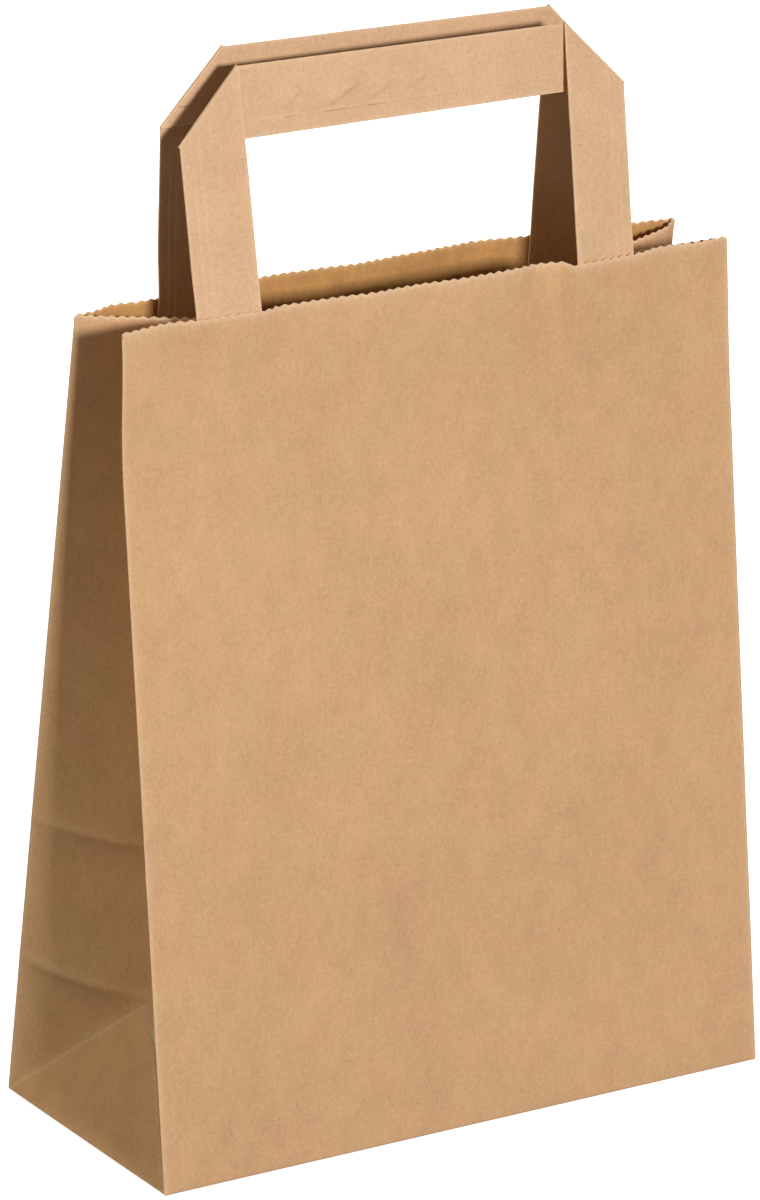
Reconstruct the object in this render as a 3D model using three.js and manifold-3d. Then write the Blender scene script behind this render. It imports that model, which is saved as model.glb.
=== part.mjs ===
import * as THREE from 'three';
import { mergeVertices } from 'three/addons/utils/BufferGeometryUtils.js';
import Module from 'manifold-3d';

// Millimetres, +Z up. The bag stands on z = 0, its front panel faces -Y.

// Bag sheet
const bagWidth = 180;
const bagDepth = 80;
const bagHeight = 220;
const paper = 0.2;
const frontLean = 24.5;
const rearLean = 33;
const rearBow = 5.5;
const toothPitch = 2.4;
const toothDepth = 0.9;
const toothBand = 6;
const flapLap = 12;
const seamStart = 20;
const seamLap = 15;
const seamStep = 0.2;

// Handle tape
const tapeWidth = 18;
const tapeThickness = 0.5;
const handleSpan = 130;
const frontRise = 60;
const rearRise = 62;
const glueLength = 46;
const frontShift = -3.7;
const rearShift = 0;
const frontHandleLean = THREE.MathUtils.degToRad(9.5);
const rearHandleLean = THREE.MathUtils.degToRad(3);

// Patches over the leg ends
const patchMargin = 10;
const patchHeight = 38;
const patchDrop = 14;
const patchThickness = 0.2;

// Glue gap between sheets
const glueGap = 0.3;

const halfWidth = bagWidth / 2;
const halfDepth = bagDepth / 2;
const frontTilt = Math.asin(frontLean / bagHeight);
const rearTilt = Math.asin(rearLean / bagHeight);
const foldRadius = (tapeThickness + glueGap) / 2;

const vec = (x, y, z) => new THREE.Vector3(x, y, z);
const mix = (a, b, t) => a + (b - a) * t;
const mixPoint = (a, b, t) => a.clone().lerp(b, t);
const smooth = (t) => THREE.MathUtils.smoothstep(t, 0, 1);

// Panels at a place x across and h up the sheet
function frontPanel(x, h) {
  return vec(x, -halfDepth + h * Math.sin(frontTilt), h * Math.cos(frontTilt));
}

function rearPanel(x, h) {
  const across = 1 - (x / halfWidth) ** 2;
  const bow = rearBow * across * (h / bagHeight) ** 2;
  return vec(x, halfDepth - h * Math.sin(rearTilt) + bow, h * Math.cos(rearTilt));
}

// The point at given distances from three others, on the side that faces inward
function meet(a, b, c, ra, rb, rc, inward) {
  const ex = b.clone().sub(a).normalize();
  const span = b.distanceTo(a);
  const toC = c.clone().sub(a);
  const i = ex.dot(toC);
  const ey = toC.clone().addScaledVector(ex, -i).normalize();
  const ez = ex.clone().cross(ey);
  const j = ey.dot(toC);
  const px = (ra * ra - rb * rb + span * span) / (2 * span);
  const py = (ra * ra - rc * rc + i * i + j * j - 2 * i * px) / (2 * j);
  const rise = Math.sqrt(Math.max(ra * ra - px * px - py * py, 0));
  const sign = Math.sign(ez.dot(inward)) || 1;
  const found = a.clone().addScaledVector(ex, px).addScaledVector(ey, py);
  return found.addScaledVector(ez, sign * rise);
}

// Gusset of the +X side: apex of its bottom triangle and top of its middle crease
const inward = vec(-1, 0, 0);
const sideFoot = vec(halfWidth, 0, 0);
const frontKnee = frontPanel(halfWidth, halfDepth);
const rearKnee = rearPanel(halfWidth, halfDepth);
const frontTop = frontPanel(halfWidth, bagHeight);
const rearTop = rearPanel(halfWidth, bagHeight);
const apex = meet(frontKnee, rearKnee, sideFoot, halfDepth, halfDepth, halfDepth, inward);
const creaseLength = bagHeight - halfDepth;
const creaseTop = meet(frontTop, rearTop, apex, halfDepth, halfDepth, creaseLength, inward);

// Gusset half between a panel's edge and the middle crease, s in from the edge
function gussetHalf(panel, s, h) {
  const foot = panel(halfWidth, 0);
  if (h >= halfDepth) {
    const middle = mixPoint(apex, creaseTop, (h - halfDepth) / creaseLength);
    return mixPoint(panel(halfWidth, h), middle, s / halfDepth);
  }
  const point = foot.clone();
  const toApex = apex.clone().sub(foot);
  if (h <= s) {
    point.addScaledVector(sideFoot.clone().sub(foot), (s - h) / halfDepth);
    return point.addScaledVector(toApex, h / halfDepth);
  }
  const knee = panel(halfWidth, halfDepth);
  point.addScaledVector(toApex, s / halfDepth);
  return point.addScaledVector(knee.sub(foot), (h - s) / halfDepth);
}

const mirrored = (p) => vec(-p.x, p.y, p.z);

// The sheet all the way round, walked anticlockwise as seen from above
const seamEnd = seamStart + seamLap;
const frontStops = evenStops(-halfWidth, halfWidth, 6);
const rearStops = [
  ...evenStops(halfWidth, seamEnd + seamStep, 3),
  seamEnd,
  seamStart,
  ...evenStops(seamStart - seamStep, -halfWidth, 5),
];
const insetStops = evenStops(0, halfDepth, 4);
const outsetStops = insetStops.slice().reverse();

function evenStops(from, to, count) {
  return Array.from({ length: count + 1 }, (_, i) => mix(from, to, i / count));
}

const walls = [
  { stops: frontStops, at: frontPanel },
  { stops: insetStops, at: (s, h) => gussetHalf(frontPanel, s, h) },
  { stops: outsetStops, at: (s, h) => gussetHalf(rearPanel, s, h) },
  { stops: rearStops, at: rearPanel, seam: true },
  { stops: insetStops, at: (s, h) => mirrored(gussetHalf(rearPanel, s, h)) },
  { stops: outsetStops, at: (s, h) => mirrored(gussetHalf(frontPanel, s, h)) },
];

const kneeRows = evenStops(0, halfDepth, 4);
const wallRows = evenStops(halfDepth, bagHeight - toothBand, 8);
const rows = kneeRows.concat(wallRows.slice(1));

// Toothed edge between two stops: even teeth, valley to valley
function toothEdge(wall, from, to) {
  const count = Math.round(Math.abs(to - from) / toothPitch);
  const points = [];
  for (let k = 0; k <= 2 * count; k += 1) {
    const s = mix(from, to, count ? k / (2 * count) : 0);
    const drop = k % 2 ? 0 : toothDepth;
    points.push({ wall, s, h: bagHeight - drop });
  }
  return points;
}

// Middle surface of the tube as one triangle list over shared points
function tubeSheet() {
  const points = [];
  const faces = [];
  const laps = [];
  const seams = (wall, s) => Boolean(wall.seam) && s >= seamStart && s <= seamEnd;
  const add = (wall, s, h) => {
    points.push(wall.at(s, h));
    laps.push(seams(wall, s));
    return points.length - 1;
  };
  const columns = [];
  walls.forEach((wall) => {
    wall.stops.slice(0, -1).forEach((s, k) => {
      const ids = rows.map((h) => add(wall, s, h));
      columns.push({ wall, s, next: wall.stops[k + 1], ids });
    });
  });
  const rims = columns.map(({ wall, s }) => add(wall, s, bagHeight - toothDepth));
  const rim = [];
  columns.forEach((column, c) => {
    const after = columns[(c + 1) % columns.length];
    const rising = column.wall.stops === insetStops;
    for (let r = 0; r + 1 < rows.length; r += 1) {
      const a = column.ids[r];
      const b = after.ids[r];
      const d = column.ids[r + 1];
      const e = after.ids[r + 1];
      if (rising) {
        faces.push([a, b, e], [a, e, d]);
      } else {
        faces.push([a, b, d], [b, e, d]);
      }
    }
    const left = column.ids[rows.length - 1];
    const right = after.ids[rows.length - 1];
    const edge = toothEdge(column.wall, column.s, column.next);
    const inner = edge.slice(1, -1).map((p) => add(p.wall, p.s, p.h));
    const chain = [rims[c], ...inner, rims[(c + 1) % columns.length]];
    const half = Math.floor((chain.length - 1) / 2);
    for (let k = 0; k + 1 < chain.length; k += 1) {
      faces.push([k < half ? left : right, chain[k + 1], chain[k]]);
    }
    faces.push([left, right, chain[half]]);
    rim.push(...chain.slice(0, -1));
  });
  const foot = columns.map((column) => column.ids[0]);
  return { points, faces, laps, rim, foot };
}

// Direction that moves every face round a point by one unit, so folds keep their thickness
function offsetDirections(points, faces) {
  const sums = points.map(() => vec(0, 0, 0));
  const touching = points.map(() => []);
  faces.forEach((face) => {
    const [a, b, c] = face.map((id) => points[id]);
    const normal = b.clone().sub(a).cross(c.clone().sub(a)).normalize();
    face.forEach((id, k) => {
      const u = points[face[(k + 1) % 3]].clone().sub(points[id]);
      const v = points[face[(k + 2) % 3]].clone().sub(points[id]);
      const angle = u.angleTo(v);
      sums[id].addScaledVector(normal, angle);
      touching[id].push({ normal, angle });
    });
  });
  return sums.map((sum, id) => {
    const direction = sum.normalize();
    let total = 0;
    let weight = 0;
    touching[id].forEach(({ normal, angle }) => {
      total += angle * normal.dot(direction);
      weight += angle;
    });
    return direction.divideScalar(Math.max(total / weight, 0.25));
  });
}

// Geometry from points and triangles
function meshOf(points, faces) {
  const geometry = new THREE.BufferGeometry();
  const flat = points.flatMap((p) => [p.x, p.y, p.z]);
  geometry.setAttribute('position', new THREE.Float32BufferAttribute(flat, 3));
  geometry.setIndex(faces.flat());
  return geometry;
}

// The tube as a closed shell of paper thickness, thicker where its long seam laps
function tubeGeometry() {
  const { points, faces, laps, rim, foot } = tubeSheet();
  const directions = offsetDirections(points, faces);
  const count = points.length;
  const outer = points.map((p, id) => {
    const reach = laps[id] ? 1.5 * paper : 0.5 * paper;
    return p.clone().addScaledVector(directions[id], reach);
  });
  const inner = points.map((p, id) => p.clone().addScaledVector(directions[id], -0.5 * paper));
  foot.forEach((id) => {
    outer[id].z = 0;
    inner[id].z = 0;
  });
  const shell = faces.slice();
  faces.forEach(([a, b, c]) => shell.push([a + count, c + count, b + count]));
  const close = (loop, up) => loop.forEach((a, k) => {
    const b = loop[(k + 1) % loop.length];
    const first = up ? [a, b, b + count] : [b, a, a + count];
    const second = up ? [a, b + count, a + count] : [b, a + count, b + count];
    shell.push(first, second);
  });
  close(rim, true);
  close(foot, false);
  return meshOf(outer.concat(inner), shell);
}

// A flat flap of the block bottom
function flapGeometry(corners, z) {
  const outline = new THREE.Shape(corners.map(([x, y]) => new THREE.Vector2(x, y)));
  const flap = new THREE.ExtrudeGeometry(outline, { depth: paper, bevelEnabled: false });
  return flap.translate(0, 0, z);
}

const wasm = await Module();
wasm.setup();

function solidOf(geometry) {
  const bare = geometry.clone();
  bare.deleteAttribute('normal');
  bare.deleteAttribute('uv');
  const merged = mergeVertices(bare, 1e-4);
  const mesh = new wasm.Mesh({
    numProp: 3,
    vertProperties: new Float32Array(merged.attributes.position.array),
    triVerts: new Uint32Array(merged.index.array),
  });
  return new wasm.Manifold(mesh);
}

function geometryOf(solid) {
  const mesh = solid.getMesh();
  const geometry = new THREE.BufferGeometry();
  const places = new Float32Array(mesh.numVert * 3);
  for (let k = 0; k < mesh.numVert; k += 1) {
    for (let axis = 0; axis < 3; axis += 1) {
      places[3 * k + axis] = mesh.vertProperties[mesh.numProp * k + axis];
    }
  }
  geometry.setAttribute('position', new THREE.BufferAttribute(places, 3));
  geometry.setIndex(Array.from(mesh.triVerts));
  return geometry;
}

// Tube and block bottom: side flaps innermost, then the rear flap, the front flap lowest
function bodyGeometry() {
  const reach = halfDepth + flapLap;
  const w = halfWidth;
  const d = halfDepth;
  const sink = 0.1 * paper;
  const frontFlap = [[-w, -d], [w, -d], [w - reach, reach - d], [reach - w, reach - d]];
  const rearFlap = [[w, d], [-w, d], [reach - w, d - reach], [w - reach, d - reach]];
  const leftFlap = [[-w, -d], [reach - w, -d], [reach - w, d], [-w, d]];
  const rightFlap = [[w - reach, -d], [w, -d], [w, d], [w - reach, d]];
  const layer = paper - sink;
  let body = solidOf(tubeGeometry());
  [[frontFlap, 0], [rearFlap, layer], [leftFlap, 2 * layer], [rightFlap, 2 * layer]]
    .forEach(([corners, z]) => {
      body = body.add(solidOf(flapGeometry(corners, z)));
    });
  return geometryOf(body);
}

// Closed slab over a grid: place(i, j, side) gives both faces of the sheet
function slabGeometry(rowCount, columnCount, place) {
  const points = [];
  [1, -1].forEach((side) => {
    for (let i = 0; i <= rowCount; i += 1) {
      for (let j = 0; j <= columnCount; j += 1) {
        points.push(place(i, j, side));
      }
    }
  });
  const stride = columnCount + 1;
  const back = (rowCount + 1) * stride;
  const id = (i, j) => i * stride + j;
  const faces = [];
  const quad = (a, b, c, d) => faces.push([a, b, c], [a, c, d]);
  for (let i = 0; i < rowCount; i += 1) {
    for (let j = 0; j < columnCount; j += 1) {
      const [a, b, c, d] = [id(i, j), id(i, j + 1), id(i + 1, j + 1), id(i + 1, j)];
      quad(a, b, c, d);
      quad(back + a, back + d, back + c, back + b);
    }
    const [low, high] = [id(i, 0), id(i + 1, 0)];
    quad(low, high, back + high, back + low);
    const [from, to] = [id(i, columnCount), id(i + 1, columnCount)];
    quad(to, from, back + from, back + to);
  }
  for (let j = 0; j < columnCount; j += 1) {
    const [low, high] = [id(0, j), id(0, j + 1)];
    quad(high, low, back + low, back + high);
    const [from, to] = [id(rowCount, j), id(rowCount, j + 1)];
    quad(from, to, back + to, back + from);
  }
  return meshOf(points, faces);
}

// Carries a flat place onto a panel's inner face, or above the mouth onto the handle's plane:
// x across, v up from the mouth, n inward from the tape's middle
function carrier(panel, inwardSign, lean, centre) {
  const legOffset = handleSpan / 2 - tapeWidth / 2;
  const sheetOffset = paper / 2 + glueGap + tapeThickness / 2;
  const step = 0.5;
  const innerNormal = (x, h) => {
    const across = panel(x + step, h).sub(panel(x - step, h));
    const upward = panel(x, h).sub(panel(x, h - step));
    return upward.cross(across).normalize().multiplyScalar(inwardSign);
  };
  const meanEdge = panel(centre - legOffset, bagHeight).y + panel(centre + legOffset, bagHeight).y;
  return (x, v, n) => {
    if (v <= 0) {
      const h = bagHeight + v;
      return panel(x, h).addScaledVector(innerNormal(x, h), sheetOffset + n);
    }
    const edge = panel(x, bagHeight);
    const above = innerNormal(x, bagHeight);
    const settle = smooth(v / tapeWidth);
    const start = edge.addScaledVector(above, sheetOffset);
    const straight = meanEdge / 2 + sheetOffset * above.y;
    start.y = mix(start.y, straight, settle);
    const rise = vec(0, inwardSign * Math.sin(lean), Math.cos(lean));
    const outward = vec(0, inwardSign * Math.cos(lean), -Math.sin(lean));
    const normal = mixPoint(above, outward, settle).normalize();
    return start.addScaledVector(rise, v).addScaledVector(normal, n);
  };
}

// One folded tape: rows across it run up a leg, round the fold and along the bar
function handleGeometry(carry, centre, rise) {
  const columnCount = 4;
  const legRows = 12;
  const foldRows = 6;
  const barRows = 6;
  const outer = centre - handleSpan / 2;
  const shoulder = rise - tapeWidth;
  const half = [];
  for (let k = 0; k <= legRows; k += 1) {
    const t = k / legRows;
    const slant = smooth((t - 0.55) / 0.45);
    half.push((c) => ({
      x: outer + c * tapeWidth,
      v: mix(-glueLength, shoulder, t) + slant * c * tapeWidth,
      n: 0,
      normal: vec(0, 0, 1),
    }));
  }
  const away = vec(-Math.SQRT1_2, Math.SQRT1_2, 0);
  for (let k = 1; k < foldRows; k += 1) {
    const turn = Math.PI * k / foldRows;
    const out = foldRadius * Math.sin(turn);
    half.push((c) => ({
      x: outer + c * tapeWidth + away.x * out,
      v: shoulder + c * tapeWidth + away.y * out,
      n: foldRadius * (1 - Math.cos(turn)),
      normal: away.clone().multiplyScalar(-Math.sin(turn)).add(vec(0, 0, Math.cos(turn))),
    }));
  }
  for (let k = 0; k <= barRows; k += 1) {
    const t = k / barRows;
    const slant = 1 - smooth(t / 0.6);
    half.push((c) => ({
      x: mix(outer + tapeWidth / 2, centre, t) + slant * (c - 0.5) * tapeWidth,
      v: shoulder + c * tapeWidth,
      n: 2 * foldRadius,
      normal: vec(0, 0, -1),
    }));
  }
  const flip = (row) => (c) => {
    const { x, v, n, normal } = row(c);
    return { x: 2 * centre - x, v, n, normal: vec(-normal.x, normal.y, normal.z) };
  };
  const strip = half.concat(half.slice(0, -1).reverse().map(flip));
  return slabGeometry(strip.length - 1, columnCount, (i, j, side) => {
    const { x, v, n, normal } = strip[i](j / columnCount);
    const reach = side * tapeThickness / 2;
    return carry(x + normal.x * reach, v + normal.y * reach, n + normal.z * reach);
  });
}

// Patch over the leg ends, one glue gap further in than the tape
function patchGeometry(carry, centre) {
  const columnCount = 12;
  const rowCount = 3;
  const patchWidth = handleSpan + 2 * patchMargin;
  const depth = tapeThickness / 2 + glueGap + patchThickness / 2;
  return slabGeometry(rowCount, columnCount, (i, j, side) => {
    const x = centre + patchWidth * (j / columnCount - 0.5);
    const v = -patchDrop - patchHeight * (1 - i / rowCount);
    return carry(x, v, depth + side * patchThickness / 2);
  });
}

// Faces turned outward
function outwardFacing(geometry) {
  const position = geometry.attributes.position;
  const index = geometry.index.array;
  let volume = 0;
  const [a, b, c] = [vec(0, 0, 0), vec(0, 0, 0), vec(0, 0, 0)];
  for (let k = 0; k < index.length; k += 3) {
    a.fromBufferAttribute(position, index[k]);
    b.fromBufferAttribute(position, index[k + 1]);
    c.fromBufferAttribute(position, index[k + 2]);
    volume += a.dot(b.cross(c));
  }
  if (volume < 0) {
    for (let k = 0; k < index.length; k += 3) {
      [index[k + 1], index[k + 2]] = [index[k + 2], index[k + 1]];
    }
  }
  return geometry;
}

function piece(name, geometry, colour) {
  const material = new THREE.MeshStandardMaterial({ color: colour, roughness: 0.9, metalness: 0 });
  const shaded = outwardFacing(geometry);
  shaded.computeVertexNormals();
  const mesh = new THREE.Mesh(shaded, material);
  mesh.name = name;
  return mesh;
}

const kraft = '#c79a6b';
const tapeKraft = '#cfa476';
const onFront = carrier(frontPanel, 1, frontHandleLean, frontShift);
const onRear = carrier(rearPanel, -1, rearHandleLean, rearShift);

const bag = new THREE.Group();
bag.name = 'paper_carrier_bag';
bag.add(piece('bag_body', bodyGeometry(), kraft));
bag.add(piece('front_handle', handleGeometry(onFront, frontShift, frontRise), tapeKraft));
bag.add(piece('rear_handle', handleGeometry(onRear, rearShift, rearRise), tapeKraft));
bag.add(piece('front_patch', patchGeometry(onFront, frontShift), kraft));
bag.add(piece('rear_patch', patchGeometry(onRear, rearShift), kraft));

export default bag;
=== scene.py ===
import math
import bpy
from mathutils import Matrix, Vector, noise


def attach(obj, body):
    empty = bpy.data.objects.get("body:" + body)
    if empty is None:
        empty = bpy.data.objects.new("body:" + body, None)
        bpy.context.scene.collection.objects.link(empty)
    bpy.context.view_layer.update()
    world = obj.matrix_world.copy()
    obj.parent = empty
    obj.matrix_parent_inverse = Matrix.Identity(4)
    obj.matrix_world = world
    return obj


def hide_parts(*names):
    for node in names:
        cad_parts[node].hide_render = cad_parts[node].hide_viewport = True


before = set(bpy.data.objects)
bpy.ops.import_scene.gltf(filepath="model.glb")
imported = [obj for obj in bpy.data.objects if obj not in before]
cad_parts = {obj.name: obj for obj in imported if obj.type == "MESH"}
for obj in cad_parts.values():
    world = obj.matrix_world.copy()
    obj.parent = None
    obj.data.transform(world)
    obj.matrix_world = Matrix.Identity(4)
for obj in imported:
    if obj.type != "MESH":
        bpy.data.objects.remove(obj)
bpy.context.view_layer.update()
scene = bpy.context.scene
scene.view_settings.view_transform = "Standard"
mm = 0.001
print("frame loaded:", sorted(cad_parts))


# shader wiring

class Wire:
    def __init__(self, tree, socket):
        self.tree = tree
        self.socket = socket

    def maths(self, operation, left, right):
        node = self.tree.nodes.new("ShaderNodeMath")
        node.operation = operation
        for slot, value in zip(node.inputs, (left, right)):
            plug(self.tree, slot, value)
        return Wire(self.tree, node.outputs[0])

    def __add__(self, other):
        return self.maths("ADD", self, other)

    def __radd__(self, other):
        return self.maths("ADD", other, self)

    def __sub__(self, other):
        return self.maths("SUBTRACT", self, other)

    def __rsub__(self, other):
        return self.maths("SUBTRACT", other, self)

    def __rmul__(self, other):
        return self.maths("MULTIPLY", other, self)


def plug(tree, slot, value):
    if isinstance(value, Wire):
        tree.links.new(value.socket, slot)
    elif hasattr(slot.default_value, "__len__") and not hasattr(value, "__len__"):
        slot.default_value = [value] * len(slot.default_value)
    else:
        slot.default_value = value


class Finish:
    def __init__(self, name):
        self.material = bpy.data.materials.new(name)
        self.material.use_nodes = True
        self.tree = self.material.node_tree
        self.tree.nodes.clear()

    # one node: its type, its settings, its sockets by name or number, and the output wanted
    def add(self, kind, settings=None, sockets=None, out=0):
        node = self.tree.nodes.new("ShaderNode" + kind)
        for key, value in (settings or {}).items():
            setattr(node, key, value)
        for key, value in (sockets or {}).items():
            plug(self.tree, node.inputs[key], value)
        return Wire(self.tree, node.outputs[out]) if node.outputs else None

    def close(self, shader):
        self.add("OutputMaterial", None, {"Surface": shader})
        return self.material


# kraft paper: cloudy pulp, short fibres both ways, a few dark shives, pale folds and edges that are partly
# wear and partly painted highlight, painted lit bands by the creases and painted shade
def kraftPaper(name, look):
    kraft = Finish(name)
    place = kraft.add("TexCoord", None, None, "Object")

    def pulp(size, detail=2, roughness=0.5, stretch=(1, 1, 1), turn=(0, 0, 0), shift=0.0):
        spot = kraft.add("Mapping", {"vector_type": "POINT"}, {
            "Vector": place, "Rotation": turn, "Scale": stretch, "Location": (shift, shift, shift)})
        return kraft.add("TexNoise", None, {
            "Vector": spot, "Scale": 1 / (size * mm), "Detail": detail, "Roughness": roughness}, "Fac")

    def between(value, low, high):
        return kraft.add("MapRange", {"clamp": True}, {
            "Value": value, "From Min": low, "From Max": high, "To Min": 0.0, "To Max": 1.0})

    slim = look["fibreWidth"] / look["fibreLength"]
    clouds = pulp(look["cloudSize"], detail=3)
    mottle = pulp(look["mottleSize"], detail=4, roughness=0.6, stretch=(1, 1, 0.7), shift=0.31)
    grain = pulp(look["grainSize"], detail=3, roughness=0.65, shift=0.77)
    upright = pulp(look["fibreWidth"], stretch=(1, 1, slim), shift=0.13)
    leaning = pulp(look["fibreWidth"], stretch=(1, 1, slim), turn=(0.55, 0.55, 0), shift=0.47)
    across = pulp(look["fibreWidth"], stretch=(slim, 1, 1), turn=(0, 0.2, 0), shift=0.59)
    tint = pulp(look["tintSize"], shift=0.91)
    specks = pulp(look["shiveWidth"], detail=1, roughness=0.4, stretch=(1, 1, 0.25),
                  turn=(0.3, 0.9, 0), shift=0.23)
    shives = between(specks, *look["shiveEdge"])
    pale = (between(upright, *look["fibreEdge"]) + between(leaning, *look["slantEdge"])
            + between(across, *look["slantEdge"]))
    dark = between(1 - upright, *look["fibreEdge"]) + between(1 - leaning, *look["slantEdge"])
    # one mask for wear and painted light: paler at folds, edges and the bands above creases (wear and painted
    # highlight), darker where painted shade lies
    worn = kraft.add("Attribute", {"attribute_name": "worn"}, None, "Fac")

    shade = (1 + look["clouds"] * (clouds - 0.5) + look["mottle"] * (mottle - 0.5)
             + look["grain"] * (grain - 0.5) + look["fibre"] * (pale - dark)
             + look["worn"] * worn - look["shive"] * shives)
    base = kraft.add("Mix", {"data_type": "RGBA"}, {
        "Factor": between(tint, *look["tintEdge"]), 6: look["warm"], 7: look["cool"]}, 2)
    level = kraft.add("CombineColor", None, {0: shade, 1: shade, 2: shade})
    shaded = kraft.add("Mix", {"data_type": "RGBA", "blend_type": "MULTIPLY"}, {0: 1.0, 6: base, 7: level}, 2)
    colour = kraft.add("Mix", {"data_type": "RGBA"}, {0: look["wearAndLightLevel"] * worn, 6: shaded, 7: look["wearAndHighlightTint"]}, 2)
    height = look["grainHeight"] * grain + look["mottleHeight"] * mottle + look["fibreHeight"] * (pale - dark)
    bump = kraft.add("Bump", None, {
        "Strength": look["bump"], "Distance": look["bumpDepth"] * mm, "Height": height})
    rough = look["rough"] + look["roughSwing"] * (grain - 0.5)
    paper = kraft.add("BsdfPrincipled", None, {
        "Base Color": colour, "Roughness": rough, "Specular IOR Level": look["specular"], "Normal": bump})
    return kraft.close(paper)


def linear(red, green, blue):
    return tuple((c / 255) ** 2.2 for c in (red, green, blue)) + (1.0,)


# sizes in millimetres; the edges are where a fibre, shive or tint starts and is full
paperLook = {
    # the third colour is the pale tint that worn folds and painted highlights mix towards
    "warm": linear(213, 166, 124), "cool": linear(210, 167, 123), "wearAndHighlightTint": linear(240, 212, 180),
    "cloudSize": 46, "mottleSize": 7, "grainSize": 0.9, "tintSize": 14,
    "fibreWidth": 0.45, "fibreLength": 3.2, "shiveWidth": 0.5,
    "fibreEdge": (0.6, 0.78), "slantEdge": (0.62, 0.8), "shiveEdge": (0.735, 0.79), "tintEdge": (0.35, 0.65),
    "clouds": 0.22, "mottle": 0.27, "grain": 0.44, "fibre": 0.07, "shive": 0.18, "worn": 0.09, "wearAndLightLevel": 0.32,
    "grainHeight": 0.5, "mottleHeight": 0.35, "fibreHeight": 0.2, "bump": 0.35, "bumpDepth": 0.12,
    "rough": 0.86, "roughSwing": 0.12, "specular": 0.25,
}
# the inside face is darker and more golden than the outside: painted shade and warm bounce light inside the
# bag; the patches share it
insideShadedLook = dict(paperLook, warm=linear(201, 148, 92), cool=linear(194, 147, 88),
                  clouds=0.3, mottle=0.6, wearAndLightLevel=0.12)
tapeLook = dict(paperLook, warm=linear(222, 179, 141), cool=linear(219, 179, 139), mottle=0.18, cloudSize=30)
# the cut rim is paler than the sheet: partly cut fibres, partly painted highlight where the rim catches the
# light
rimLook = dict(paperLook, warm=linear(222, 186, 146), cool=linear(219, 184, 143))

kraftSheet = kraftPaper("kraft_sheet", paperLook)
kraftInsideShaded = kraftPaper("kraft_inside_shaded", insideShadedLook)
kraftRim = kraftPaper("kraft_rim", rimLook)
kraftTape = kraftPaper("kraft_tape", tapeLook)
kraftPatch = kraftPaper("kraft_patch", insideShadedLook)
print("kraft finishes made")


# the bag's sheet, in millimetres: x across, h up the sheet from the bottom fold
bag = {
    "width": 180.0, "depth": 80.0, "height": 220.0, "paper": 0.2,
    "frontRun": 26.5,                # how far the front panel leans back by its mouth
    "rearTops": (5.8, 8.6),          # rear mouth corners, left and right
    "rearBow": 6.0,
    "flareFrom": 176.0,              # the mouth's push and ripple start here
    "flareCurve": 1.4,
    "mouthPush": -1.0,
    "toothPitch": 2.73, "toothDepth": 0.55, "toothUneven": 0.25,
    "tipFrom": 214.0, "tipCurl": 0.3,
    "fold": 0.3,                     # half width of a fold
    "foot": 0.6,                     # height where the walls turn under
    "turnUnder": ((0.05, 0.5), (0.3, 0.12), (0.9, 0.0)),   # inset, and share of the foot's height
    "flapStops": (4, 12, 24, 38, 52),
    "layers": {"front": 0.1, "rear": 0.32, "side": 0.54},
}
# creases pressed in when the bag lay flat: height, then how far it falls away above and below
creases = {"upper": (2.2, 12, 3.5), "lower": (2.8, 11, 3.5), "corner": (0.8, 3, 2.5), "rear": (0.5, 9, 3)}
upperCrease = 80.0
tuckBulge = 2.0                      # the right gusset's own bulge by the mouth
# waves in the sheet: height, noise scale and shift
waves = {
    "broad": (0.3, 0.022, (0, 0, 0)), "fine": (0.12, 0.07, (0, 0, 0)),
    "gusset": (0.45, 0.035, (7, 3, 1)),
}
# the glued legs show through the front panel
legPrint = {"spans": ((-69, -49), (41.5, 61)), "edge": 2.5, "height": 0.22, "from": 172, "rise": 5}
# pale wear and painted light: strength and reach; fold, diagonal and mouth are pale lines, partly wear and
# partly painted highlight; upper and lower are painted lit bands just above the creases; shade is painted
# shade, a dark line low in a gusset's middle
wearAndLightMarks = {
    "fold": (1.0, 0.6), "diagonal": (0.8, 0.7), "upper": (0.5, 0.8), "lower": (0.6, 0.8),
    "mouth": (1.6, 0.8), "shade": (0.9, 0.5),
}
litBandRise = 1.2                       # how far above a crease its painted lit band lies
halfWidth = bag["width"] / 2
halfDepth = bag["depth"] / 2
tall = bag["height"]

# mouth ripples: (centre, half width, push) in mm, forward on the front edge and back on the rear
frontRipples = ((-90, 8, -2.6), (-17, 8, -1.2), (9, 8, -0.7), (33, 6, 1.5), (80, 5, -1.0))
rearRipples = ((-77, 5, 2.0), (-30, 9, 1.0), (-4, 9, -1.4), (33, 11, 2.0), (70, 8, -0.6))
# where the handle legs hold the front mouth forward: push at one place, and its change per mm
legPushes = (
    {"span": (-71, -46), "edges": (5, 5), "push": 1.2, "at": -67.7, "slope": 0.026},
    {"span": (40, 66), "edges": (1.6, 7), "push": 3.9, "at": 41.7, "slope": -0.09},
)


def mix(a, b, t):
    return a + (b - a) * t


def smooth(t):
    t = min(max(t, 0.0), 1.0)
    return t * t * (3 - 2 * t)


def hump(x, centre, width):
    return math.exp(-((x - centre) / width) ** 2)


def plateau(x, low, high, lowEdge, highEdge):
    return smooth((x - low) / lowEdge + 0.5) - smooth((x - high) / highEdge + 0.5)


def mouthWeight(h):
    return smooth((h - bag["flareFrom"]) / (tall - bag["flareFrom"])) ** bag["flareCurve"]


def frontPanel(x, h):
    run = bag["frontRun"] / tall
    push = bag["mouthPush"] + sum(size * hump(x, at, width) for at, width, size in frontRipples)
    for leg in legPushes:
        push -= (leg["push"] + leg["slope"] * (x - leg["at"])) * plateau(x, *leg["span"], *leg["edges"])
    y = -halfDepth + h * run + push * mouthWeight(h)
    return Vector((x, y, h * math.sqrt(1 - run * run)))


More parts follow.
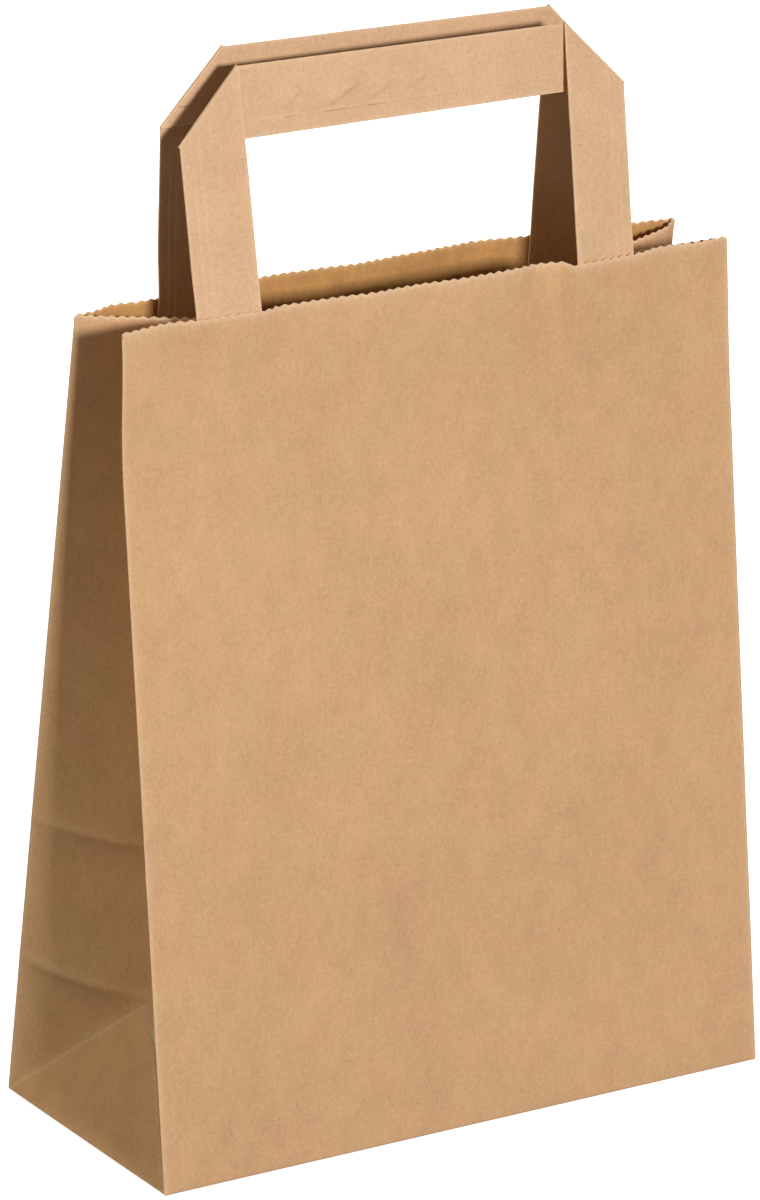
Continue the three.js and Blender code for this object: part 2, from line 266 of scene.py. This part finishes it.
def rearPanel(x, h):
    left, right = bag["rearTops"]
    top = mix(left, right, (x + halfWidth) / bag["width"])
    run = (halfDepth - top) / tall
    bow = bag["rearBow"] * (1 - (x / halfWidth) ** 2) * (h / tall) ** 2
    ripple = sum(size * hump(x, at, width) for at, width, size in rearRipples)
    y = halfDepth - h * run + bow + ripple * mouthWeight(h)
    return Vector((x, y, h * math.sqrt(1 - run * run)))


# the point at set distances from three others, on the inner side
def meet(a, b, c, ra, rb, rc, inward):
    ex = (b - a).normalized()
    span = (b - a).length
    toC = c - a
    i = ex.dot(toC)
    ey = (toC - ex * i).normalized()
    ez = ex.cross(ey)
    j = ey.dot(toC)
    px = (ra * ra - rb * rb + span * span) / (2 * span)
    py = (ra * ra - rc * rc + i * i + j * j - 2 * i * px) / (2 * j)
    rise = math.sqrt(max(ra * ra - px * px - py * py, 0))
    if ez.x * inward < 0:
        rise = -rise
    return a + ex * px + ey * py + ez * rise


def gussetCorners(side):
    x = side * halfWidth
    foot = Vector((x, 0, 0))
    knees = [panel(x, halfDepth) for panel in (frontPanel, rearPanel)]
    tops = [panel(x, tall) for panel in (frontPanel, rearPanel)]
    apex = meet(knees[0], knees[1], foot, halfDepth, halfDepth, halfDepth, -side)
    top = meet(tops[0], tops[1], apex, halfDepth, halfDepth, tall - halfDepth, -side)
    return foot, apex, top


gussets = {side: gussetCorners(side) for side in (-1, 1)}


def gussetHalf(side, panel, s, h):
    middleFoot, apex, top = gussets[side]
    x = side * halfWidth
    if h >= halfDepth:
        middle = apex.lerp(top, (h - halfDepth) / (tall - halfDepth))
        return panel(x, h).lerp(middle, s / halfDepth)
    foot = panel(x, 0)
    if h <= s:
        return foot + (middleFoot - foot) * ((s - h) / halfDepth) + (apex - foot) * (h / halfDepth)
    knee = panel(x, halfDepth)
    return foot + (apex - foot) * (s / halfDepth) + (knee - foot) * ((h - s) / halfDepth)


walls = {
    "front": lambda s, h: frontPanel(s, h),
    "rightFront": lambda s, h: gussetHalf(1, frontPanel, s, h),
    "rightRear": lambda s, h: gussetHalf(1, rearPanel, s, h),
    "rear": lambda s, h: rearPanel(s, h),
    "leftRear": lambda s, h: gussetHalf(-1, rearPanel, s, h),
    "leftFront": lambda s, h: gussetHalf(-1, frontPanel, s, h),
}
wallSpans = {
    "front": (-halfWidth, halfWidth), "rightFront": (0, halfDepth), "rightRear": (halfDepth, 0),
    "rear": (halfWidth, -halfWidth), "leftRear": (0, halfDepth), "leftFront": (halfDepth, 0),
}


# stops across one wall: half a tooth apart, with a close pair beside each fold
def wallStops(low, high):
    length = abs(high - low)
    count = 2 * round(length / bag["toothPitch"])
    stops = [length * k / count for k in range(count + 1)]
    stops += [bag["fold"], length - bag["fold"]]
    way = 1 if high > low else -1
    return [low + way * s for s in sorted(stops)], length / (count / 2)


# rows up the sheet: half a tooth apart over the base triangles, close together by each crease and the mouth
def rowHeights():
    pace = halfDepth / round(halfDepth / bag["toothPitch"]) / 2
    rows = [bag["foot"]] + [pace * k for k in range(1, round(halfDepth / pace) + 1)]
    rows += [halfDepth + d for d in (0.7, 1.6, 3, 5)]
    rows += [48 + 4 * k for k in range(7)]
    rows += [upperCrease + d for d in (-5, -3, -1.6, -0.7, 0, 0.7, 1.6, 3, 5)]
    rows += [88 + 4 * k for k in range(23)]
    rows += [180 + 3 * k for k in range(11)]
    rows += [212.5, 214.5, 216.2, 217.4, 218.4, 219.2]
    return sorted(rows)


def toothTop(s, pitch, seed):
    phase = (s / pitch) % 1.0
    peak = 1 - abs(2 * phase - 1)
    uneven = 1 + bag["toothUneven"] * noise.noise(Vector((math.floor(s / pitch) * 1.7, seed, 0.3)))
    return tall - bag["toothDepth"] * (1 - peak) * uneven


# a pressed crease: a ridge that falls away quickly below and slowly above
def ridge(off, above, below):
    return math.exp(-off / above) if off >= 0 else math.exp(off / below)


def crease(kind, off):
    height, above, below = creases[kind]
    return height * ridge(off, above, below)


def waveAt(kind, point):
    height, scale, shift = waves[kind]
    return height * noise.noise(point * scale + Vector(shift))


# small relief along the sheet's normal, nil at the folds between walls
def relief(wall, s, h, point):
    isPanel = wall in ("front", "rear")
    inset = min(s + halfWidth, halfWidth - s) if isPanel else min(s * 1.6, (halfDepth - s) * 2.6)
    edge = smooth(inset / 8)
    lift = (waveAt("broad", point) + waveAt("fine", point)) * edge * smooth(h / 25)
    if wall == "front":
        rise = legPrint["height"] * smooth((h - legPrint["from"]) / legPrint["rise"])
        for low, high in legPrint["spans"]:
            lift += rise * plateau(s, low, high, legPrint["edge"], legPrint["edge"])
    if wall == "rear":
        lift += crease("rear", h - halfDepth) * edge
    if not isPanel:
        broad = smooth((s + 2) / 16) * smooth((halfDepth - s) / 16)
        lift += crease("upper", h - upperCrease) * broad
        lift += crease("lower", h - halfDepth) * broad * smooth((h - s) / 4 + 0.6)
        lift += crease("corner", h - s) * edge * smooth((halfDepth + 3 - h) / 5)
        lift += waveAt("gusset", point) * edge * smooth((h - upperCrease - 4) / 30)
    if wall == "rightRear":
        lift += tuckBulge * mouthWeight(h) * smooth(s / 8) * smooth((halfDepth - s) / 12)
    return lift


def wearAndLightBy(kind, off):
    strength, reach = wearAndLightMarks[kind]
    return strength * math.exp(-off / reach)


# pale wear and painted light over the sheet: pale folds and mouth, partly wear and partly painted highlight;
# painted lit bands above the creases; painted shade low in a gusset's middle
def wearAndPaintedLightAt(wall, s, h):
    if wall in ("front", "rear"):
        near = wearAndLightBy("fold", min(s + halfWidth, halfWidth - s))
    else:
        toMiddle = halfDepth - s
        near = max(
            wearAndLightBy("fold", s),
            wearAndLightBy("fold", toMiddle) * smooth((h - halfDepth) / 4),
            wearAndLightBy("diagonal", abs(h - s)) * smooth((halfDepth + 2 - h) / 3),
            # painted lit bands just above the upper and lower creases
            wearAndLightBy("upper", abs(h - upperCrease - litBandRise)),
            wearAndLightBy("lower", abs(h - halfDepth - litBandRise)) * (h > s))
        # painted shade: a dark line low in the gusset's middle fold
        near -= wearAndLightBy("shade", toMiddle) * smooth((30 - h) / 8)
    return max(near, wearAndLightBy("mouth", tall - h))


# the way out of the sheet
def normalAt(wall, s, h):
    point = walls[wall]
    step = 0.05
    low, high = min(wallSpans[wall]), max(wallSpans[wall])
    s = min(max(s, low + 2 * step), high - 2 * step)
    along = point(s + step, h) - point(s - step, h)
    up = point(s, h + step) - point(s, h - step)
    way = 1 if wallSpans[wall][1] > wallSpans[wall][0] else -1
    return (along * way).cross(up).normalized()


def meshObject(name, vertices, faces, worn):
    mesh = bpy.data.meshes.new(name)
    mesh.from_pydata([v * mm for v in vertices], [], faces)
    mesh.polygons.foreach_set("use_smooth", [True] * len(mesh.polygons))
    layer = mesh.attributes.new("worn", "FLOAT", "POINT")
    layer.data.foreach_set("value", worn)
    mesh.update()
    piece = bpy.data.objects.new(name, mesh)
    scene.collection.objects.link(piece)
    return piece


def thicken(piece, thickness, materials):
    for material in materials:
        piece.data.materials.append(material)
    shell = piece.modifiers.new("paper", "SOLIDIFY")
    shell.thickness = thickness * mm
    shell.offset = 0
    shell.use_even_offset = False
    shell.use_rim = True
    shell.material_offset = 1 if len(materials) > 1 else 0
    shell.material_offset_rim = 2 if len(materials) > 2 else 0


def makeBag():
    vertices, faces, worn = [], [], []
    rows = rowHeights()

    def put(point, wearAndLightLevel):
        vertices.append(point)
        worn.append(wearAndLightLevel)
        return len(vertices) - 1

    columns = []
    for seed, (wall, (low, high)) in enumerate(wallSpans.items()):
        stops, pitch = wallStops(low, high)
        for s in stops[:-1]:
            top = toothTop(abs(s - low), pitch, seed)
            ids = []
            for h in rows + [tall]:
                tip = smooth((h - bag["tipFrom"]) / (tall - bag["tipFrom"]))
                place = mix(h, h + top - tall, tip)
                point = walls[wall](s, place)
                out = normalAt(wall, s, min(place, tall - 1))
                lift = relief(wall, s, place, point)
                lift += bag["tipCurl"] * tip * noise.noise(Vector((s * 0.31, seed * 5.0, 2.0)))
                ids.append(put(point + out * lift, wearAndPaintedLightAt(wall, s, h)))
            columns.append((wall, ids))
    for k, (_, ids) in enumerate(columns):
        after = columns[(k + 1) % len(columns)][1]
        for r in range(len(ids) - 1):
            faces.append((ids[r], after[r], after[r + 1], ids[r + 1]))

    # the block bottom: each wall turns under into its own flap
    turn = bag["turnUnder"]
    spread = [d for d, _ in turn] + list(bag["flapStops"])
    sets = {
        "front": (["front"], bag["layers"]["front"]),
        "right": (["rightFront", "rightRear"], bag["layers"]["side"]),
        "rear": (["rear"], bag["layers"]["rear"]),
        "left": (["leftRear", "leftFront"], bag["layers"]["side"]),
    }
    for flap, (members, layer) in sets.items():
        strip = [k for k, column in enumerate(columns) if column[0] in members]
        strip.append((strip[-1] + 1) % len(columns))
        grid = []
        for k in strip:
            start = columns[k][1][0]
            wallFoot = vertices[start]
            line = [start]
            for n, d in enumerate(spread):
                lift = turn[n][1] if n < len(turn) else 0
                z = mix(layer, wallFoot.z, lift)
                if flap in ("front", "rear"):
                    way = 1 if flap == "front" else -1
                    y = -way * halfDepth + way * d
                    line.append(put(Vector((wallFoot.x * (1 - d / halfWidth), y, z)), 0.0))
                else:
                    way = -1 if flap == "right" else 1
                    line.append(put(Vector((-way * halfWidth + way * d, wallFoot.y, z)), 0.0))
            grid.append(line)
        for a, b in zip(grid, grid[1:]):
            for n in range(len(spread)):
                faces.append((a[n], a[n + 1], b[n + 1], b[n]))

    piece = meshObject("bag_sheet", vertices, faces, worn)
    thicken(piece, bag["paper"], (kraftSheet, kraftInsideShaded, kraftRim))
    return piece


# handles: a flat tape up one leg, folded over at 45 degrees, along the bar and down again
tape = {
    "width": 18.0, "thick": 0.45, "gap": 0.3, "glued": 46.0,
    "settle": 14.0,                  # length over which a leg leaves the panel's own shape
    "wave": 0.16,
    "seamOnLeg": (0.17, 0.29), "seamOnBar": (0.235,),   # ply seams, as shares of the width
    "seamStep": 0.09, "seamHalf": 0.014, "rimInset": 0.012,
    "columns": 36, "legRows": 74, "foldRows": 8, "barRows": 150,
    # the tape is paler by its edges and along its ply seams, partly wear and partly painted highlight where
    # edges and ply steps catch the light, and paler over its folds
    "edgeReach": 0.45, "foldWear": 0.8, "seamWearAndHighlight": 0.4, "seamReach": 0.22,
}
# each leg is a flat strip: outer foot in mm, turn, lean and tilt in degrees, and where its fold lies
frontHandle = {
    "panel": frontPanel, "inward": 1, "seed": 3.0, "open": (0.15, 0.35),
    "left": {"foot": (-67.7, -14.9, 218.0), "turn": -1.7, "lean": 10.6, "tilt": 0.8, "fold": (42.0, 60.0)},
    "right": {"foot": (60.2, -15.8, 218.3), "turn": 5.3, "lean": 8.9, "tilt": -1.3, "fold": (43.0, 60.0)},
}
rearHandle = {
    "panel": rearPanel, "inward": -1, "seed": 9.0, "open": (0.2, 0.2),
    "left": {"foot": (-64.7, 9.1, 217.5), "turn": 4.4, "lean": 4.2, "tilt": 2.1, "fold": (44.0, 62.0)},
    "right": {"foot": (65.6, 11.2, 217.2), "turn": -3.2, "lean": 5.0, "tilt": -0.1, "fold": (44.0, 62.0)},
}
# wrinkles in the front bar: start and end as (x from its left, down from its top), then height
barWrinkles = (
    ((1.5, 12), (3.6, 1.9), 1.0), ((11.5, 11.6), (16.5, 7.6), 1.2), ((24.5, 12), (33, 7.4), 1.5),
    ((36, 11.8), (42, 8.8), 1.1), ((46, 10.8), (53, 8), 0.7), ((60, 9), (72, 6.5), 0.4),
)
wrinkleFall = (3.2, 0.9)             # gentle on the upper left, steep on the lower right


# the panel's inner face at x, h, lifted off by depth
def insideOf(handle, x, h, depth):
    panel = handle["panel"]
    side = panel(x + 0.5, h) - panel(x - 0.5, h)
    up = panel(x, h) - panel(x, h - 0.5)
    return panel(x, h) + up.cross(side).normalized() * handle["inward"] * depth


# one leg as a function of its place across, up and through the tape
def legOf(handle, side):
    leg = handle[side]
    way = 1 if side == "left" else -1
    turn, lean, tilt = (math.radians(leg[key]) for key in ("turn", "lean", "tilt"))
    level = Vector((math.cos(turn), math.sin(turn), 0))
    inward = Vector((-math.sin(turn), math.cos(turn), 0)) * handle["inward"]
    rise = Vector((0, 0, math.cos(lean))) + inward * math.sin(lean)
    across = (level * math.cos(tilt) + rise * math.sin(tilt)) * way
    up = rise * math.cos(tilt) - level * math.sin(tilt)
    through = inward * math.cos(lean) - Vector((0, 0, math.sin(lean)))
    foot = Vector(leg["foot"])
    glued = bag["paper"] / 2 + tape["gap"] + tape["thick"] / 2

    def at(c, v, n):
        free = foot + across * (c * tape["width"]) + up * v + through * n
        if v >= tape["settle"]:
            return free
        low = foot + across * (c * tape["width"])
        held = insideOf(handle, low.x, tall + min(v, 0), glued + n)
        if v <= 0:
            return held
        return (held + up * v).lerp(free, smooth(v / tape["settle"]))

    return at


def wrinkleAt(x, down):
    height = 0.0
    for (x0, d0), (x1, d1), size in barWrinkles:
        run = Vector((x1 - x0, d1 - d0))
        at = Vector((x - x0, down - d0))
        t = at.dot(run) / run.length_squared
        off = (at.x * run.y - at.y * run.x) / run.length
        height += size * ridge(off, *wrinkleFall) * smooth(t * 4 + 0.5) * smooth((1 - t) * 4 + 0.5)
    return height


def makeHandle(name, handle):
    width = tape["width"]
    seams = {"leg": tape["seamOnLeg"], "fold": tape["seamOnLeg"], "bar": tape["seamOnBar"]}
    half, inset = tape["seamHalf"], tape["rimInset"]
    across = {k / tape["columns"] for k in range(tape["columns"] + 1)} | {inset, 1 - inset}
    across |= {seam + d for seam in tape["seamOnLeg"] + tape["seamOnBar"] for d in (-half, 0, half)}
    across = sorted(across)
    legRows, foldRows, barRows = tape["legRows"], tape["foldRows"], tape["barRows"]
    legs = {side: legOf(handle, side) for side in ("left", "right")}
    folds = {side: handle[side]["fold"] for side in legs}
    thick = tape["thick"]
    vertices, faces, worn = [], [], []

    # paler by the tape's edges and ply seams, partly wear and partly painted highlight, and paler over its
    # folds
    def put(point, c, part):
        edge = min(c, 1 - c) * width
        wearAndLightLevel = max(math.exp(-edge / tape["edgeReach"]), tape["foldWear"] if part == "fold" else 0.0)
        for seam in seams[part]:
            wearAndLightLevel = max(wearAndLightLevel, tape["seamWearAndHighlight"] * math.exp(-abs(c - seam) * width / tape["seamReach"]))
        vertices.append(point)
        worn.append(wearAndLightLevel)

    def ply(c, part):
        return tape["seamStep"] * sum(smooth((c - seam) / (2 * half) + 0.5) for seam in seams[part])

    def wave(place, v):
        spot = Vector((place * 0.06, v * 0.05, handle["seed"]))
        return tape["wave"] * noise.noise(spot) * smooth(v / 10)

    def legRow(side, t):
        low, high = folds[side]
        for c in across:
            slant = smooth((t - 0.5) / 0.5)
            v = mix(-tape["glued"], low, t) + slant * c * (high - low)
            put(legs[side](c, v, wave(c * 8 + len(side), v) - ply(c, "leg")), c, "leg")

    def foldRow(side, turn):
        low, high = folds[side]
        bend = (thick + handle["open"][side == "right"]) / 2
        bulge = math.sin(turn) * bend * math.sqrt(0.5)
        for c in across:
            v = low + c * (high - low)
            n = bend * (1 - math.cos(turn)) - ply(c, "fold") * math.cos(turn)
            put(legs[side](c - bulge / width, v + bulge, n + wave(c * 8 + len(side), v)), c, "fold")

    # the bar runs straight between the two folds, its lower edge on the outer shoulders
    corners = {}
    for k, side in enumerate(("left", "right")):
        low, high = folds[side]
        back = thick + handle["open"][k]
        corners[side] = (legs[side](0, low, back), legs[side](1, high, back))
    bottom = corners["left"][0], corners["right"][0]
    top = corners["left"][1], corners["right"][1]
    spanLow = (bottom[1] - bottom[0]).length
    spanHigh = (top[1] - top[0]).length
    facing = (bottom[1] - bottom[0]).cross(top[0] - bottom[0]).normalized()

    def barRow(t):
        for c in across:
            lead = c * width
            square = mix(width / 2, spanLow - width / 2, t)
            slant = (1 - smooth(t / 0.3)) * (lead - width / 2) + smooth((t - 0.7) / 0.3) * (width / 2 - lead)
            along = square + slant
            low = bottom[0].lerp(bottom[1], along / spanLow)
            high = top[0].lerp(top[1], (along - width) / spanHigh)
            lift = ply(c, "bar") + wave(along * 0.6, 40)
            if handle["inward"] > 0:
                lift += wrinkleAt(along - width, (1 - c) * width)
            put(low.lerp(high, c) + facing * lift * handle["inward"], c, "bar")

    for k in range(legRows + 1):
        legRow("left", k / legRows)
    for k in range(1, foldRows):
        foldRow("left", math.pi * k / foldRows)
    for k in range(barRows + 1):
        barRow(k / barRows)
    for k in range(1, foldRows):
        foldRow("right", math.pi * (1 - k / foldRows))
    for k in range(legRows + 1):
        legRow("right", 1 - k / legRows)
    stride = len(across)
    for a in range(len(vertices) - stride):
        if a % stride < stride - 1:
            faces.append((a, a + 1, a + stride + 1, a + stride))
    if handle["inward"] < 0:
        faces = [face[::-1] for face in faces]
    piece = meshObject(name, vertices, faces, worn)
    thicken(piece, thick, (kraftTape,))
    return piece


# patches glued over the leg ends inside the bag
patch = {
    "margin": 10.0, "tall": 38.0, "drop": 14.0, "thick": 0.2,
    "sink": 0.45,                    # how far it lies down between the legs
    "columns": 90, "rows": 19,
}


def makePatch(name, handle):
    left, right = handle["left"]["foot"][0], handle["right"]["foot"][0]
    low, high = left - patch["margin"], right + patch["margin"]
    depth = bag["paper"] / 2 + tape["gap"] * 2 + tape["thick"] + patch["thick"] / 2
    columns, rows = patch["columns"], patch["rows"]
    vertices, faces, worn = [], [], []
    for i in range(rows + 1):
        h = tall - patch["drop"] - patch["tall"] * (1 - i / rows)
        for j in range(columns + 1):
            x = mix(low, high, j / columns)
            inset = min(x - left, right - x)
            onLeg = plateau(inset, -1.5, tape["width"] + 1.5, 3, 3)
            vertices.append(insideOf(handle, x, h, depth - patch["sink"] * (1 - onLeg)))
            worn.append(0.0)
    stride = columns + 1
    for a in range(rows * stride):
        if a % stride < columns:
            faces.append((a, a + 1, a + stride + 1, a + stride))
    piece = meshObject(name, vertices, faces, worn)
    thicken(piece, patch["thick"], (kraftPatch,))
    return piece


def settle(piece, node):
    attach(piece, "root")
    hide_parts(node)


bagSheet = makeBag()
settle(bagSheet, "bag_body")
print("bag sheet folded")
settle(makeHandle("front_tape", frontHandle), "front_handle")
settle(makeHandle("rear_tape", rearHandle), "rear_handle")
print("handle tapes folded")
settle(makePatch("front_patch_strip", frontHandle), "front_patch")
settle(makePatch("rear_patch_strip", rearHandle), "rear_patch")
print("patches laid")


# pale floor that shows white to the camera and still takes the bag's shadow
studio = {
    "floorSize": 7.0, "floorGlow": 0.74, "floorTone": 0.86, "floorBounce": 0.22, "ambient": 0.045,
    "aim": (0, 0, 0.14), "white": (1, 1, 1, 1),
}


def grey(tone):
    return (tone, tone, tone, 1)


def makeFloor():
    side = studio["floorSize"] / 2
    mesh = bpy.data.meshes.new("floor")
    corners = [(-side, -side, 0), (side, -side, 0), (side, side, 0), (-side, side, 0)]
    mesh.from_pydata(corners, [], [(0, 1, 2, 3)])
    floor = bpy.data.objects.new("floor", mesh)
    scene.collection.objects.link(floor)
    card = Finish("floor_card")
    seen = card.add("LightPath", None, None, "Is Camera Ray")
    matt = card.add("BsdfDiffuse", None, {"Color": grey(studio["floorTone"])})
    dim = card.add("BsdfDiffuse", None, {"Color": grey(studio["floorBounce"])})
    glow = card.add("Emission", None, {"Color": studio["white"], "Strength": studio["floorGlow"]})
    lit = card.add("AddShader", None, {0: matt, 1: glow})
    mesh.materials.append(card.close(card.add("MixShader", None, {0: seen, 1: dim, 2: lit})))


def makeWorld():
    world = bpy.data.worlds.new("studio")
    scene.world = world
    world.use_nodes = True
    tree = world.node_tree
    tree.nodes.clear()
    path = tree.nodes.new("ShaderNodeLightPath")
    base = tree.nodes.new("ShaderNodeBackground")
    base.inputs["Color"].default_value = studio["white"]
    base.inputs["Strength"].default_value = studio["ambient"]
    white = tree.nodes.new("ShaderNodeBackground")
    white.inputs["Color"].default_value = studio["white"]
    blend = tree.nodes.new("ShaderNodeMixShader")
    out = tree.nodes.new("ShaderNodeOutputWorld")
    tree.links.new(path.outputs["Is Camera Ray"], blend.inputs[0])
    tree.links.new(base.outputs[0], blend.inputs[1])
    tree.links.new(white.outputs[0], blend.inputs[2])
    tree.links.new(blend.outputs[0], out.inputs[0])


# lamps: azimuth from the front, left is negative; level is the share of full white on a facing card
lamps = {
    "key": {"azimuth": -4.5, "elevation": 17, "distance": 1.4, "size": 0.17,
            "level": 0.8, "colour": (1, 1, 1)},
    "leftFill": {"azimuth": -94, "elevation": 28, "distance": 2.2, "size": 1.1,
                 "level": 0.36, "colour": (1, 0.94, 0.74)},
    "rightFill": {"azimuth": 94, "elevation": 28, "distance": 2.2, "size": 1.1,
                  "level": 0.36, "colour": (1, 0.94, 0.86)},
    "back": {"azimuth": 180, "elevation": 12, "distance": 2.2, "size": 0.4,
             "level": 0.74, "colour": (1, 1, 1)},
}


# from the object towards a place at this azimuth and elevation, in radians
def outward(turn, lift):
    return Vector((math.sin(turn) * math.cos(lift), -math.cos(turn) * math.cos(lift), math.sin(lift)))


def makeLamps():
    aim = Vector(studio["aim"])
    for name, lamp in lamps.items():
        light = bpy.data.lights.new(name, "AREA")
        light.shape = "SQUARE"
        light.size = lamp["size"]
        light.energy = lamp["level"] * math.pi ** 2 * lamp["distance"] ** 2
        light.color = lamp["colour"]
        holder = bpy.data.objects.new(name, light)
        scene.collection.objects.link(holder)
        toward = outward(math.radians(lamp["azimuth"]), math.radians(lamp["elevation"]))
        holder.location = aim + toward * lamp["distance"]
        holder.rotation_euler = toward.to_track_quat("Z", "Y").to_euler()


# the photograph's view
view = {
    "azimuth": -32.40, "elevation": 18.41, "distance": 1.7074, "roll": 0.94,
    "target": (-0.0039, 0.0, 0.1312), "lens": 201.18, "sensor": 36, "reach": 50,
}


def makeCamera():
    turn, lift, roll = (math.radians(view[key]) for key in ("azimuth", "elevation", "roll"))
    back = outward(turn, lift)
    right = (-back).cross(Vector((0, 0, 1))).normalized()
    up = right.cross(-back)
    rolledRight = math.cos(roll) * right + math.sin(roll) * up
    rolledUp = math.cos(roll) * up - math.sin(roll) * right
    lens = bpy.data.cameras.new("photo_view")
    lens.lens = view["lens"]
    lens.sensor_width = view["sensor"]
    lens.clip_end = view["reach"]
    camera = bpy.data.objects.new("photo_view", lens)
    scene.collection.objects.link(camera)
    facing = Matrix((rolledRight, rolledUp, back)).transposed()
    spot = Vector(view["target"]) + back * view["distance"]
    camera.matrix_world = Matrix.Translation(spot) @ facing.to_4x4()
    scene.camera = camera


makeFloor()
makeWorld()
makeLamps()
makeCamera()
print("studio set")
